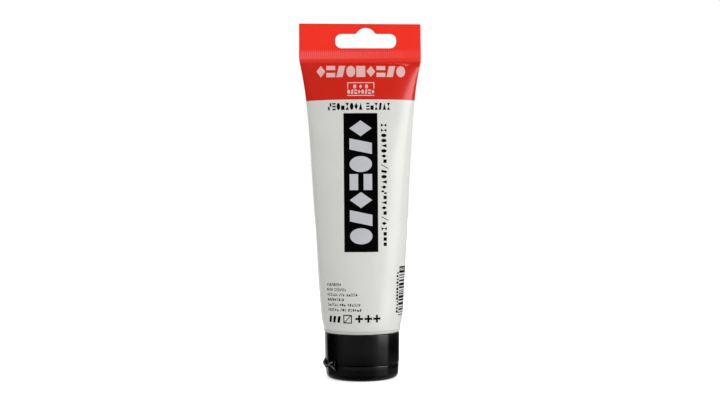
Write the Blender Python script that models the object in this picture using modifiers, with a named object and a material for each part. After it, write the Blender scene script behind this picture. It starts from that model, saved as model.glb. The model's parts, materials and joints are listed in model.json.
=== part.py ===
"""A squeeze tube of acrylic paint that stands on its flip-top cap.

Metres, +Z up. The origin is the centre of the lid's foot and +Z is the tube's axis. The flat
sealed end lies along X, and the printed face looks along -Y. The neck points down, into the cap.
"""

import math

import bmesh
import bpy
from mathutils import Matrix, Vector

MM = 0.001
PART_NAME = "paint_tube"

# Driving dimensions
TUBE_RADIUS = 20.0 * MM
WALL = 0.5 * MM
TOTAL_HEIGHT = 182.8 * MM
TAB_HEIGHT = 20.2 * MM
LID_RADIUS = 18.9 * MM
BASE_RADIUS = 19.1 * MM
BASE_TOP_RADIUS = 19.3 * MM
BASE_TOP = 23.4 * MM
PARTING = 7.9 * MM
THREAD_PITCH = 3.5 * MM
HINGE_AZIMUTH = math.radians(207)

# Clearances
FIT = 0.1 * MM
GAP = 0.3 * MM

# Sleeve
PERIMETER = math.tau * TUBE_RADIUS
FLAT_HALF_WIDTH = PERIMETER / 4
WELD_HEIGHT = 27.4 * MM
SLEEVE_BOTTOM = 25.3 * MM
CRIMP_HEIGHT = TOTAL_HEIGHT - TAB_HEIGHT
END_DRAW_IN = 0.25 * MM
TAB_EDGE = 6.0
SWELL = 0.073
SWELL_OVER = 0.02
TAPER = 0.69
FLARE_POWER = 9.5
FLATTEN_OVER = 2.5 * MM
CRIMP_GAP = 0.06 * MM

# Hanging slot in the tab
SLOT_OFFSET = 3.0 * MM
SLOT_BOTTOM = TOTAL_HEIGHT - 13.3 * MM
SLOT_WIDTH = 31.4 * MM
SLOT_HEIGHT = 7.4 * MM
SLOT_CORNER = 3.2 * MM
HUMP_RADIUS = 5.4 * MM
HUMP_RISE = 3.1 * MM
HUMP_FILLET = 1.5 * MM
SLOT_CUTTER_DEPTH = 10.0 * MM

# Neck and shoulder
NECK_RADIUS = 8.0 * MM
NECK_BORE = 6.0 * MM
NECK_END = 10.0 * MM
SHOULDER_UNDERSIDE = BASE_TOP + GAP
SHOULDER_TOP = WELD_HEIGHT + 1.2 * MM
SHOULDER_TOP_RADIUS = 17.9 * MM
SHOULDER_FILLET = 1.2 * MM
CONE_BOTTOM = 25.0 * MM
CONE_TOP = 27.2 * MM
CONE_RADIUS = 17.4 * MM
NECK_FLARE = 0.8 * MM
NECK_CHAMFER = 0.4 * MM
THREAD_DEPTH = 1.0 * MM
THREAD_ROOT_HALF = 0.75 * MM
THREAD_CREST_HALF = 0.35 * MM
THREAD_TURNS = 2.0
THREAD_START = 12.5 * MM

# Cap
SKIRT = 2.0 * MM
SKIRT_FILLET = 1.2 * MM
DECK_UNDERSIDE = 6.8 * MM
DECK_TOP = 8.6 * MM
NEST_RADIUS = 16.4 * MM
COLLAR_INNER = NECK_RADIUS + THREAD_DEPTH + GAP
COLLAR_OUTER = 10.7 * MM
COLLAR_TOP = 21.0 * MM
SPOUT_RADIUS = 3.2 * MM
SPOUT_END = 4.6 * MM
ORIFICE_RADIUS = 1.9 * MM
WEB_COUNT = 6
WEB_THICKNESS = 1.0 * MM
WEB_TOP = 18.5 * MM
THUMB_RADIUS = 12.0 * MM
THUMB_DEPTH = 1.0 * MM
THUMB_HEIGHT = PARTING + 1.5 * MM
EDGE = 0.3 * MM

# Lid
LID_CORNER = 3.0 * MM
LID_WALL = 2.1 * MM
LID_FLOOR = 1.6 * MM
LID_BEVEL = 2.0 * MM
DISH_RADIUS = 13.4 * MM
DISH_DEPTH = 0.35 * MM
PIN_RADIUS = 1.5 * MM
PIN_TOP = 6.6 * MM
LID_RING_INNER = 4.0 * MM
LID_RING_OUTER = 4.8 * MM
LID_RING_TOP = 6.0 * MM

# Living hinge
HINGE_RADIUS = 19.6 * MM
WING_START = math.radians(2.4)
WING_END = math.radians(21.2)
WING_START_RADIUS = 19.0 * MM
WING_END_RADIUS = 19.6 * MM
WING_START_HALF = 0.6 * MM
WING_END_HALF = 3.1 * MM
WING_THICKNESS = 0.6 * MM
FILM_WIDTH = 1.2 * MM
FILM_HEIGHT = 1.4 * MM
FILM_THICKNESS = 0.4 * MM
POCKET_HALF_LENGTH = 7.55 * MM
POCKET_MIDDLE_RADIUS = 1.1 * MM
POCKET_END_RADIUS = 3.75 * MM

# Seals and paint
FOIL_THICKNESS = 0.2 * MM
FOIL_RADIUS = 7.6 * MM
RING_THICKNESS = 0.9 * MM
RING_INNER = 5.4 * MM
RING_OUTER = 8.8 * MM
FILL_HEIGHT = 149.0 * MM
FILL_STEP = 1.0 * MM

SEGMENTS = 48
ARC_STEPS = 5
SHARP_ANGLE = math.radians(35)


def clear_scene():
    for obj in list(bpy.data.objects):
        bpy.data.objects.remove(obj, do_unlink=True)


def new_collection(name):
    collection = bpy.data.collections.new(name)
    bpy.context.scene.collection.children.link(collection)
    return collection


def material(name, colour, roughness, metallic=0.0):
    made = bpy.data.materials.new(name)
    made.use_nodes = True
    shader = made.node_tree.nodes["Principled BSDF"]
    shader.inputs["Base Color"].default_value = (*colour, 1.0)
    shader.inputs["Roughness"].default_value = roughness
    shader.inputs["Metallic"].default_value = metallic
    return made


def add_object(name, mesh, collection, finish=None):
    obj = bpy.data.objects.new(name, mesh)
    collection.objects.link(obj)
    if finish:
        mesh.materials.append(finish)
    return obj


def add_cutter(name, mesh):
    obj = add_object(name, mesh, cutters)
    obj.hide_render = True
    obj.display_type = "WIRE"
    return obj


def mesh_from_bmesh(name, bm):
    bmesh.ops.recalc_face_normals(bm, faces=bm.faces)
    mesh = bpy.data.meshes.new(name)
    bm.to_mesh(mesh)
    bm.free()
    return mesh


def boolean(obj, other, operation):
    modifier = obj.modifiers.new(f"{operation.lower()}_{other.name}", "BOOLEAN")
    modifier.object = other
    modifier.operation = operation


def arc(centre, radius, start, end, steps=ARC_STEPS):
    """Points (across, up) on an arc, from the start angle to the end angle in degrees, ends included."""
    angles = [math.radians(start + (end - start) * i / steps) for i in range(steps + 1)]
    return [(centre[0] + radius * math.cos(a), centre[1] + radius * math.sin(a)) for a in angles]


def profile_mesh(name, points, cyclic):
    """An outline in the XZ plane, as edges, for a Screw modifier to turn."""
    mesh = bpy.data.meshes.new(name)
    count = len(points)
    edges = [(i, (i + 1) % count) for i in range(count if cyclic else count - 1)]
    mesh.from_pydata([(r, 0.0, z) for r, z in points], edges, [])
    return mesh


def add_screw(obj, angle, rise, steps):
    modifier = obj.modifiers.new("turn", "SCREW")
    modifier.angle = angle
    modifier.screw_offset = rise
    modifier.steps = steps
    modifier.render_steps = steps
    modifier.use_merge_vertices = rise == 0
    modifier.merge_threshold = 0.01 * MM


def turned(name, points, finish, cyclic=True):
    """A turned piece. The profile runs down its outer side, and is open only where it ends on the axis."""
    obj = add_object(name, profile_mesh(name, points, cyclic), parts, finish)
    add_screw(obj, math.tau, 0.0, SEGMENTS)
    return obj


def helical_ridge(name, root_radius, crest_radius, start):
    """A right-handed thread ridge, with its two ends closed, to be joined to a wall at root_radius."""
    outline = [
        (root_radius, start - THREAD_ROOT_HALF),
        (crest_radius, start - THREAD_CREST_HALF),
        (crest_radius, start + THREAD_CREST_HALF),
        (root_radius, start + THREAD_ROOT_HALF),
    ]
    turning = add_cutter(name + "_profile", profile_mesh(name, outline, True))
    steps = round(SEGMENTS * THREAD_TURNS)
    add_screw(turning, math.tau * THREAD_TURNS, THREAD_PITCH * THREAD_TURNS, steps)
    turning.rotation_euler.z = math.pi / SEGMENTS  # so that no corner meets a corner of the wall
    bpy.context.view_layer.update()
    return close_ends(name, turning)


def close_ends(name, source):
    """A closed mesh cutter from the source's evaluated shape. The source is removed."""
    evaluated = source.evaluated_get(bpy.context.evaluated_depsgraph_get())
    bm = bmesh.new()
    bm.from_mesh(bpy.data.meshes.new_from_object(evaluated))
    bmesh.ops.remove_doubles(bm, verts=bm.verts, dist=0.01 * MM)
    bmesh.ops.holes_fill(bm, edges=[e for e in bm.edges if e.is_boundary], sides=0)
    world = source.matrix_world.copy()
    bpy.data.objects.remove(source)
    closed = add_cutter(name, mesh_from_bmesh(name, bm))
    closed.matrix_world = world
    return closed


def loft(name, rings):
    """A closed body through rings of equally many points, capped at its first and last ring."""
    bm = bmesh.new()
    made = [[bm.verts.new(point) for point in ring] for ring in rings]
    count = len(made[0])
    for low, high in zip(made, made[1:]):
        for i in range(count):
            j = (i + 1) % count
            bm.faces.new((low[i], low[j], high[j], high[i]))
    bm.faces.new(made[0])
    bm.faces.new(made[-1])
    return mesh_from_bmesh(name, bm)


# The sleeve keeps the perimeter of its round end at every height, so its depth follows from its width.


def half_width(z):
    """Half width of the sleeve: round at the shoulder, flaring quickly just under the crimp."""
    if z <= WELD_HEIGHT:
        return TUBE_RADIUS - END_DRAW_IN * ((WELD_HEIGHT - z) / (WELD_HEIGHT - SLEEVE_BOTTOM)) ** 2
    t = min(1.0, (z - WELD_HEIGHT) / (CRIMP_HEIGHT - WELD_HEIGHT))
    share = SWELL * (1 - math.exp(-t / SWELL_OVER)) + TAPER * t + (1 - SWELL - TAPER) * t**FLARE_POWER
    return TUBE_RADIUS + (FLAT_HALF_WIDTH - TUBE_RADIUS) * share


def half_depth(z):
    """Half depth of the ellipse with the sleeve's perimeter, by bisection on Ramanujan's formula."""
    width = half_width(z)
    if z <= WELD_HEIGHT:
        return width
    low, high = 0.0, TUBE_RADIUS
    for _ in range(40):
        depth = (low + high) / 2
        length = math.pi * (3 * (width + depth) - math.sqrt((3 * width + depth) * (width + 3 * depth)))
        low, high = (depth, high) if length < PERIMETER else (low, depth)
    return depth


def section(z, half_x, half_y, flatness=0.0):
    """A ring that is an ellipse at flatness 0, and a thin slab with rounded edges at flatness 1."""
    ring = []
    for i in range(SEGMENTS):
        angle = math.tau * i / SEGMENTS
        bow = math.sin(angle)
        slab = max(-1.0, min(1.0, bow * TAB_EDGE))
        ring.append((half_x * math.cos(angle), half_y * (bow + (slab - bow) * flatness), z))
    return ring


def sleeve_ring(z, inset=0.0):
    """The sleeve's section at a height. Just under the crimp it changes from an ellipse to the flat tab."""
    flatness = max(0.0, min(1.0, 1 - (CRIMP_HEIGHT - z) / FLATTEN_OVER))
    depth = half_depth(z) + (WALL - half_depth(z)) * flatness
    return section(z, half_width(z) - inset, max(depth - inset, CRIMP_GAP), flatness)


def heights(low, high, count):
    """Heights that crowd towards both ends, where the sleeve's shape changes fastest."""
    return [low + (high - low) * (1 - math.cos(math.pi * i / count)) / 2 for i in range(count + 1)]


def slot_outline():
    """The hanging slot: a rounded bar with a round hump in its upper edge, filleted where they meet."""
    left, right = -SLOT_WIDTH / 2 + SLOT_CORNER, SLOT_WIDTH / 2 - SLOT_CORNER
    low, high = SLOT_CORNER, SLOT_HEIGHT - SLOT_CORNER
    centre = SLOT_HEIGHT + HUMP_RISE - HUMP_RADIUS
    up = SLOT_HEIGHT + HUMP_FILLET - centre
    across = math.sqrt((HUMP_RADIUS + HUMP_FILLET) ** 2 - up**2)
    tangent = math.degrees(math.atan2(up, across))
    fillet_height = SLOT_HEIGHT + HUMP_FILLET
    odd_steps = 9
    return (
        arc((left, low), SLOT_CORNER, 270, 180)
        + arc((left, high), SLOT_CORNER, 180, 90)
        + arc((-across, fillet_height), HUMP_FILLET, 270, 360 - tangent)
        + arc((0, centre), HUMP_RADIUS, 180 - tangent, tangent, odd_steps)[1:-1]
        + arc((across, fillet_height), HUMP_FILLET, 180 + tangent, 270)
        + arc((right, high), SLOT_CORNER, 90, 0)
        + arc((right, low), SLOT_CORNER, 0, -90)
    )


def plate_mesh(name, outline, thickness):
    """A flat outline (across, up) extruded to both sides of its plane, as a closed mesh."""
    curve = bpy.data.curves.new(name, "CURVE")
    curve.dimensions = "2D"
    curve.fill_mode = "BOTH"
    curve.extrude = thickness / 2
    spline = curve.splines.new("POLY")
    spline.points.add(len(outline) - 1)
    spline.use_cyclic_u = True
    for point, (across, up) in zip(spline.points, outline):
        point.co = (across, up, 0.0, 1.0)
    source = bpy.data.objects.new(name, curve)
    cutters.objects.link(source)
    evaluated = source.evaluated_get(bpy.context.evaluated_depsgraph_get())
    bm = bmesh.new()
    bm.from_mesh(bpy.data.meshes.new_from_object(evaluated))
    bmesh.ops.remove_doubles(bm, verts=bm.verts, dist=0.001 * MM)
    bpy.data.objects.remove(source)
    return mesh_from_bmesh(name, bm)


def make_sleeve(finish):
    inner = [sleeve_ring(z, WALL) for z in reversed(heights(SLEEVE_BOTTOM, CRIMP_HEIGHT - FIT, 14))]
    outer = [sleeve_ring(z) for z in heights(SLEEVE_BOTTOM, CRIMP_HEIGHT, 18)]
    tab = [section(TOTAL_HEIGHT, FLAT_HALF_WIDTH, WALL, 1.0)]
    sleeve = add_object("tube_sleeve", loft("tube_sleeve", inner + outer + tab), parts, finish)
    slot = add_cutter("hanging_slot", plate_mesh("hanging_slot", slot_outline(), SLOT_CUTTER_DEPTH))
    slot.rotation_euler = (math.pi / 2, 0.0, 0.0)
    slot.location = (SLOT_OFFSET, 0.0, SLOT_BOTTOM)
    boolean(sleeve, slot, "DIFFERENCE")
    return sleeve


def make_shoulder(finish):
    """The moulded head of the tube: a shoulder welded inside the sleeve, and the threaded neck under it."""
    weld_radius = TUBE_RADIUS - END_DRAW_IN - WALL - FIT
    rim_radius = TUBE_RADIUS - END_DRAW_IN
    rim_top = SLEEVE_BOTTOM - FIT
    profile = [(weld_radius, SHOULDER_TOP), (weld_radius, rim_top), (rim_radius, rim_top)]
    fillet_centre = (rim_radius - SHOULDER_FILLET, SHOULDER_UNDERSIDE + SHOULDER_FILLET)
    profile += arc(fillet_centre, SHOULDER_FILLET, 0, -90)
    profile += [
        (NECK_RADIUS + NECK_FLARE, SHOULDER_UNDERSIDE),
        (NECK_RADIUS, SHOULDER_UNDERSIDE - NECK_FLARE),
        (NECK_RADIUS, NECK_END + NECK_CHAMFER),
        (NECK_RADIUS - NECK_CHAMFER, NECK_END),
        (NECK_BORE, NECK_END),
        (NECK_BORE, CONE_BOTTOM),
        (CONE_RADIUS, CONE_TOP),
        (SHOULDER_TOP_RADIUS, SHOULDER_TOP),
    ]
    shoulder = turned("shoulder_neck", profile, finish)
    root, crest = NECK_RADIUS - GAP, NECK_RADIUS + THREAD_DEPTH
    boolean(shoulder, helical_ridge("neck_thread", root, crest, THREAD_START), "UNION")
    return shoulder


def ring_profile(inner, outer, low, high):
    return [(outer, high), (outer, low), (inner, low), (inner, high)]


def make_foil(finish):
    top = NECK_END - FIT
    foil = [(0.0, top), (FOIL_RADIUS, top), (FOIL_RADIUS, top - FOIL_THICKNESS), (0.0, top - FOIL_THICKNESS)]
    return turned("mouth_seal_foil", foil, finish, cyclic=False)


def make_sealing_ring(finish):
    low = DECK_TOP + FIT
    return turned("sealing_ring", ring_profile(RING_INNER, RING_OUTER, low, low + RING_THICKNESS), finish)


def make_paint(finish):
    """The paint: it fills the bore, the shoulder and the sleeve, up to the air space under the crimp."""
    clear = GAP + FIT
    in_shoulder = [
        (NECK_END + FIT, NECK_BORE - FIT),
        (CONE_BOTTOM + GAP, NECK_BORE - FIT),
        (CONE_TOP + GAP, CONE_RADIUS - clear),
        (SHOULDER_TOP + GAP, SHOULDER_TOP_RADIUS - clear),
    ]
    rings = [section(z, radius, radius) for z, radius in in_shoulder]
    rings += [sleeve_ring(z, WALL + GAP) for z in heights(SHOULDER_TOP + GAP + FILL_STEP, FILL_HEIGHT, 9)]
    return add_object("paint_fill", loft("paint_fill", rings), parts, finish)


def base_profile():
    """The cap's base: skirt, deck, nesting ring and spout below, and the threaded collar inside."""
    rim = PARTING + GAP / 2
    skirt_inner = BASE_RADIUS - SKIRT
    return [
        (BASE_TOP_RADIUS - EDGE, BASE_TOP),
        (BASE_TOP_RADIUS, BASE_TOP - EDGE),
        (BASE_RADIUS, rim + EDGE),
        (BASE_RADIUS - EDGE, rim),
        (NEST_RADIUS, rim),
        (NEST_RADIUS, DECK_UNDERSIDE + EDGE),
        (NEST_RADIUS - EDGE, DECK_UNDERSIDE),
        (SPOUT_RADIUS + EDGE, DECK_UNDERSIDE),
        (SPOUT_RADIUS, SPOUT_END + EDGE),
        (SPOUT_RADIUS - EDGE, SPOUT_END),
        (ORIFICE_RADIUS, SPOUT_END),
        (ORIFICE_RADIUS, DECK_UNDERSIDE),
        (2 * ORIFICE_RADIUS, DECK_TOP),
        (COLLAR_INNER, DECK_TOP),
        (COLLAR_INNER, COLLAR_TOP - EDGE),
        (COLLAR_INNER + EDGE, COLLAR_TOP),
        (COLLAR_OUTER, COLLAR_TOP),
        (COLLAR_OUTER, DECK_TOP),
        (skirt_inner - SKIRT_FILLET, DECK_TOP),
        (skirt_inner, DECK_TOP + SKIRT_FILLET),
        (skirt_inner + EDGE, BASE_TOP),
    ]


def web_ribs():
    """Thin walls that stiffen the cap between its collar and its skirt."""
    bm = bmesh.new()
    inner, outer = COLLAR_OUTER - GAP, BASE_RADIUS - SKIRT + GAP
    low, high = DECK_TOP - GAP, WEB_TOP
    size = Matrix.Diagonal((outer - inner, WEB_THICKNESS, high - low, 1.0))
    place = Matrix.Translation(((inner + outer) / 2, 0.0, (low + high) / 2))
    for i in range(WEB_COUNT):
        turn = Matrix.Rotation(math.tau * i / WEB_COUNT, 4, "Z")
        bmesh.ops.create_cube(bm, size=1.0, matrix=turn @ place @ size)
    return add_cutter("cap_webs", mesh_from_bmesh("cap_webs", bm))


def thumb_scoop():
    """A ball that hollows the base just above the lid's rim, opposite the hinge."""
    bm = bmesh.new()
    bmesh.ops.create_uvsphere(bm, u_segments=32, v_segments=16, radius=THUMB_RADIUS)
    scoop = add_cutter("thumb_scoop", mesh_from_bmesh("thumb_scoop", bm))
    reach = BASE_RADIUS + THUMB_RADIUS - THUMB_DEPTH
    scoop.location = (-reach * math.cos(HINGE_AZIMUTH), -reach * math.sin(HINGE_AZIMUTH), THUMB_HEIGHT)
    return scoop


def make_base(finish):
    base = turned("cap_base", base_profile(), finish)
    root, crest = COLLAR_INNER + GAP, NECK_RADIUS + GAP + FIT / 2
    boolean(base, helical_ridge("collar_thread", root, crest, THREAD_START - THREAD_PITCH / 2), "UNION")
    boolean(base, web_ribs(), "UNION")
    boolean(base, thumb_scoop(), "DIFFERENCE")
    return base


def make_lid(finish):
    rim = PARTING - GAP / 2
    inner = LID_RADIUS - LID_WALL
    profile = [
        (0.0, PIN_TOP),
        (PIN_RADIUS - EDGE, PIN_TOP),
        (PIN_RADIUS, PIN_TOP - EDGE),
        (PIN_RADIUS, LID_FLOOR),
        (LID_RING_INNER, LID_FLOOR),
        (LID_RING_INNER, LID_RING_TOP),
        (LID_RING_OUTER, LID_RING_TOP),
        (LID_RING_OUTER, LID_FLOOR),
        (inner - LID_BEVEL, LID_FLOOR),
        (inner, LID_FLOOR + LID_BEVEL),
        (inner, rim),
        (LID_RADIUS - EDGE, rim),
        (LID_RADIUS, rim - EDGE),
    ]
    profile += arc((LID_RADIUS - LID_CORNER, LID_CORNER), LID_CORNER, 0, -90)
    profile += [(DISH_RADIUS, 0.0), (DISH_RADIUS - DISH_DEPTH, DISH_DEPTH), (0.0, DISH_DEPTH)]
    return turned("lid", profile, finish, cyclic=False)


def hinge_point(azimuth, radius):
    return Vector((radius * math.cos(azimuth), radius * math.sin(azimuth), PARTING))


def upright_plate(name, start, end, outline, thickness):
    """A mesh of a plate that stands upright on the line from start to end, with its inner face on it."""
    along = (end - start).normalized()
    outward = along.cross(Vector((0, 0, 1)))
    if outward.dot(start) < 0:
        outward = -outward
    frame = Matrix((along, Vector((0, 0, 1)), outward)).transposed().to_4x4()
    middle = start + outward * thickness / 2
    mesh = plate_mesh(name, outline, thickness)
    mesh.transform(Matrix.Translation(middle) @ frame)
    if frame.determinant() < 0:
        mesh.flip_normals()
    return mesh


def wing_mesh(name, side):
    """One spring wing of the butterfly hinge: a flat plate, narrow at the hinge's middle."""
    start = hinge_point(HINGE_AZIMUTH + side * WING_START, WING_START_RADIUS)
    end = hinge_point(HINGE_AZIMUTH + side * WING_END, WING_END_RADIUS)
    length = (end - start).length
    outline = [
        (0.0, -WING_START_HALF),
        (length, -WING_END_HALF),
        (length, WING_END_HALF),
        (0.0, WING_START_HALF),
    ]
    return upright_plate(name, start, end, outline, WING_THICKNESS)


def film_mesh(name):
    """The thin strip in the middle of the hinge, which bends as the lid turns."""
    middle = hinge_point(HINGE_AZIMUTH, HINGE_RADIUS - FILM_THICKNESS)
    along = Vector((-math.sin(HINGE_AZIMUTH), math.cos(HINGE_AZIMUTH), 0.0)) * FILM_WIDTH
    half = FILM_HEIGHT / 2
    outline = [(0.0, -half), (FILM_WIDTH, -half), (FILM_WIDTH, half), (0.0, half)]
    return upright_plate(name, middle - along / 2, middle + along / 2, outline, FILM_THICKNESS)


def hinge_pocket():
    """Two cones, tip to tip on the hinge's axis, which clear the wings as they fold."""
    length, middle, end = POCKET_HALF_LENGTH, POCKET_MIDDLE_RADIUS, POCKET_END_RADIUS
    profile = [(0.0, length), (end, length), (middle, 0.0), (end, -length), (0.0, -length)]
    pocket = add_cutter("hinge_pocket", profile_mesh("hinge_pocket", profile, False))
    add_screw(pocket, math.tau, 0.0, SEGMENTS)
    along_tangent = Matrix.Rotation(HINGE_AZIMUTH, 4, "Z") @ Matrix.Rotation(math.pi / 2, 4, "X")
    pocket.matrix_world = Matrix.Translation(hinge_point(HINGE_AZIMUTH, HINGE_RADIUS)) @ along_tangent
    return pocket


def make_hinge(finish, base, lid):
    """The film and the two wings, in a pocket cut from the base and the lid."""
    pocket = hinge_pocket()
    boolean(base, pocket, "DIFFERENCE")
    boolean(lid, pocket, "DIFFERENCE")
    return [
        add_object("hinge_film", film_mesh("hinge_film"), parts, finish),
        add_object("hinge_wing_front", wing_mesh("hinge_wing_front", 1), parts, finish),
        add_object("hinge_wing_rear", wing_mesh("hinge_wing_rear", -1), parts, finish),
    ]


def add_axis(name, place, children):
    """An empty on a joint's axis, which carries the pieces that move about it."""
    empty = bpy.data.objects.new(name, None)
    parts.objects.link(empty)
    empty.location = place
    bpy.context.view_layer.update()
    for child in children:
        child.parent = empty
        child.matrix_parent_inverse = empty.matrix_world.inverted()
    return empty


def apply_modifiers(obj):
    """Replaces the object's mesh with its evaluated shape, so that sharp edges can be marked on it."""
    evaluated = obj.evaluated_get(bpy.context.evaluated_depsgraph_get())
    mesh = bpy.data.meshes.new_from_object(evaluated)
    obj.modifiers.clear()
    obj.data = mesh


def shade(obj):
    obj.data.shade_smooth()
    obj.data.set_sharp_from_angle(angle=SHARP_ANGLE)


clear_scene()
parts = new_collection(PART_NAME)
cutters = new_collection(PART_NAME + "_cutters")

white_plastic = material("white_plastic", (0.66, 0.66, 0.62), 0.35)
natural_plastic = material("natural_plastic", (0.70, 0.70, 0.67), 0.45)
black_plastic = material("black_plastic", (0.012, 0.011, 0.013), 0.3)
foil = material("foil", (0.75, 0.75, 0.76), 0.3, 0.9)
foam = material("foam", (0.80, 0.80, 0.78), 0.9)
paint = material("paint", (0.80, 0.80, 0.76), 0.4)

sleeve = make_sleeve(white_plastic)
shoulder = make_shoulder(natural_plastic)
seal = make_foil(foil)
fill = make_paint(paint)
ring = make_sealing_ring(foam)
base = make_base(black_plastic)
lid = make_lid(black_plastic)
hinge_pieces = make_hinge(black_plastic, base, lid)

for piece in (sleeve, shoulder, seal, fill, ring, base, lid, *hinge_pieces):
    apply_modifiers(piece)
    shade(piece)
add_axis("tube_axis", (0.0, 0.0, DECK_TOP), [sleeve, shoulder, seal, fill, ring])
add_axis("lid_axis", hinge_point(HINGE_AZIMUTH, HINGE_RADIUS), [lid, *hinge_pieces])
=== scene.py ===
"""Looks of a squeeze tube of acrylic paint: printed soft sleeve, glossy flip-top cap, seals inside.

Metres, in the frame's axes: +Z up along the tube, +X along the flat crimped end, and the printed
face looks along -Y. A place on the sleeve is (s, z): s is the distance round it from the front's
middle line, positive towards +X. Lengths in millimetres are written with MM.
"""

import json
import math
import random

import bmesh
import bpy
import numpy as np
from mathutils import Matrix, Vector


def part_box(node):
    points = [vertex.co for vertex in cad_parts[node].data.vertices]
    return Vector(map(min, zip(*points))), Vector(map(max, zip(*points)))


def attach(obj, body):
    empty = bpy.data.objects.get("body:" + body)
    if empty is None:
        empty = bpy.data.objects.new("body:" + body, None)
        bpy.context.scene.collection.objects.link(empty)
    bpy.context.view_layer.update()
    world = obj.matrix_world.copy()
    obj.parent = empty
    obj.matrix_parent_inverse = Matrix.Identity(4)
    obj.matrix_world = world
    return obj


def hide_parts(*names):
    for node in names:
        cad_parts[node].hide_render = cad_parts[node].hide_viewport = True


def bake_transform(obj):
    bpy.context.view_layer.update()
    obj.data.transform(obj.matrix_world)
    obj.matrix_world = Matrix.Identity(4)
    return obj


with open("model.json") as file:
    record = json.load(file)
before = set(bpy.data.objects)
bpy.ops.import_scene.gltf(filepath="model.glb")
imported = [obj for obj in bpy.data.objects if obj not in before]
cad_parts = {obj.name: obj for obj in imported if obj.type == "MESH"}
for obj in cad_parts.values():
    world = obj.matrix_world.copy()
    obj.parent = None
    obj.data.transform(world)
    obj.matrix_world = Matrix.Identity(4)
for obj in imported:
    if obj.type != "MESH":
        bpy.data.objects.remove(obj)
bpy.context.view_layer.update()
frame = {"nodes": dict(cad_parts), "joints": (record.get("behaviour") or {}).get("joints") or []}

MM = 0.001

# Places taken from the frame
SLEEVE_LOW, SLEEVE_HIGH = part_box("tube_sleeve")
_, LID_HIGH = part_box("lid")
BASE_LOW, BASE_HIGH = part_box("cap_base")
HEAD_LOW, HEAD_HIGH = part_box("shoulder_neck")
LID_JOINT = next(joint for joint in frame["joints"] if joint["name"] == "lid_open")
HINGE_PLACE = Vector(LID_JOINT["pos_m"])
HINGE_AXIS = Vector(LID_JOINT["axis"])
HINGE_OUT = Vector((HINGE_PLACE.x, HINGE_PLACE.y, 0.0)).normalized()
PARTING = HINGE_PLACE.z
TOP = SLEEVE_HIGH.z
FLAT_HALF = SLEEVE_HIGH.x
TUBE_RADIUS = 2 * FLAT_HALF / math.pi
GIRTH = 4 * FLAT_HALF

# Sleeve
WALL = 0.5 * MM
CRIMP = TOP - 20.2 * MM  # height of the line where the tube turns flat
WELD = SLEEVE_LOW.z + 2.1 * MM  # height of the joint with the shoulder
END_DRAW_IN = 0.25 * MM
SWELL = 0.073  # share of the widening that happens just above the weld
SWELL_OVER = 0.02
TAPER = 0.69  # share of the widening that is an even taper; the rest flares out under the crimp
FLARE_POWER = 9.5
FLATTEN_OVER = 2.5 * MM
TAB_EDGE = 6.0  # how square the tab's section is
TOP_ROUNDING = 0.25 * MM
RED_EDGE = TOP - 40.6 * MM
SEAL_DEPTH = 0.8 * MM  # the sealed, see-through part reaches this far below the crimp line
CRIMP_SLANT = 0.0135  # drop of the crimp line for each unit across
SLANT_REACH = 12.0 * MM
SLANT_DROP = 0.65 * MM
DENT = 0.09 * MM
COLUMNS = 600
SECTION_SAMPLES = 4801  # points from which the even columns are taken

# Ribs pressed into the tab
RIB_PITCH = GIRTH / 120
RIB_LOW = CRIMP + 1.3 * MM
RIB_HIGH = CRIMP + 6.2 * MM
RIB_RUN_IN = 0.5 * MM
RIB_HEIGHT = 0.16 * MM
RIB_WHITENING = 0.95
FAINT_RIB_SHARE = 0.22
FAINT_RIB_TOP = TOP - 4.0 * MM

# Hanging slot
SLOT_OFFSET = 3.0 * MM
SLOT_BOTTOM = TOP - 13.3 * MM
SLOT_WIDTH = 31.4 * MM
SLOT_HEIGHT = 7.4 * MM
SLOT_CORNER = 3.2 * MM
SLOT_TILT = math.radians(0.5)
HUMP_RADIUS = 5.4 * MM
HUMP_RISE = 3.1 * MM
HUMP_FILLET = 1.5 * MM

# Print
INK_LIFT = 0.035 * MM
INK_DEPTH = 0.06 * MM
INK_STEP = 1.0 * MM

# Screw thread of the neck and of the cap's collar
THREAD_PITCH = 3.5 * MM
THREAD_TURNS = 2.0
THREAD_ROOT_HALF = 0.75 * MM
THREAD_CREST_HALF = 0.35 * MM

# Hinge
SHEET = 0.5 * MM  # thickness of the hinge's leaves
SHEET_PLACE = BASE_HIGH.x - 0.35 * MM  # distance of the leaves from the tube's axis

LATHE_STEPS = 192


def srgb(red, green, blue):
    """A colour given as 0-255 display values, as the linear values that a shader takes."""
    shares = [value / 255 for value in (red, green, blue)]
    return [c / 12.92 if c <= 0.04045 else ((c + 0.055) / 1.055) ** 2.4 for c in shares]


# Node materials


class Nodes:
    """Short calls to add and join the nodes of a material or a world."""

    def __init__(self, owner):
        owner.use_nodes = True
        self.tree = owner.node_tree
        self.tree.nodes.clear()

    def add(self, kind, settings=None, **inputs):
        node = self.tree.nodes.new("ShaderNode" + kind)
        for name, value in (settings or {}).items():
            setattr(node, name, value)
        for name, value in inputs.items():
            self.set(node, name.replace("_", " "), value)
        return node

    def set(self, node, name, value):
        socket = node.inputs[int(name)] if name.isdigit() else node.inputs[name]
        if isinstance(value, bpy.types.NodeSocket):
            self.tree.links.new(value, socket)
        else:
            socket.default_value = value


def ranged(nodes, value, low, high, from_low=0.0, from_high=1.0, kind="LINEAR"):
    """The value, mapped from one range to another and kept inside it."""
    node = nodes.add("MapRange", {"interpolation_type": kind})
    nodes.set(node, "Value", value)
    nodes.set(node, "From Min", from_low)
    nodes.set(node, "From Max", from_high)
    nodes.set(node, "To Min", low)
    nodes.set(node, "To Max", high)
    return node.outputs["Result"]


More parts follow.
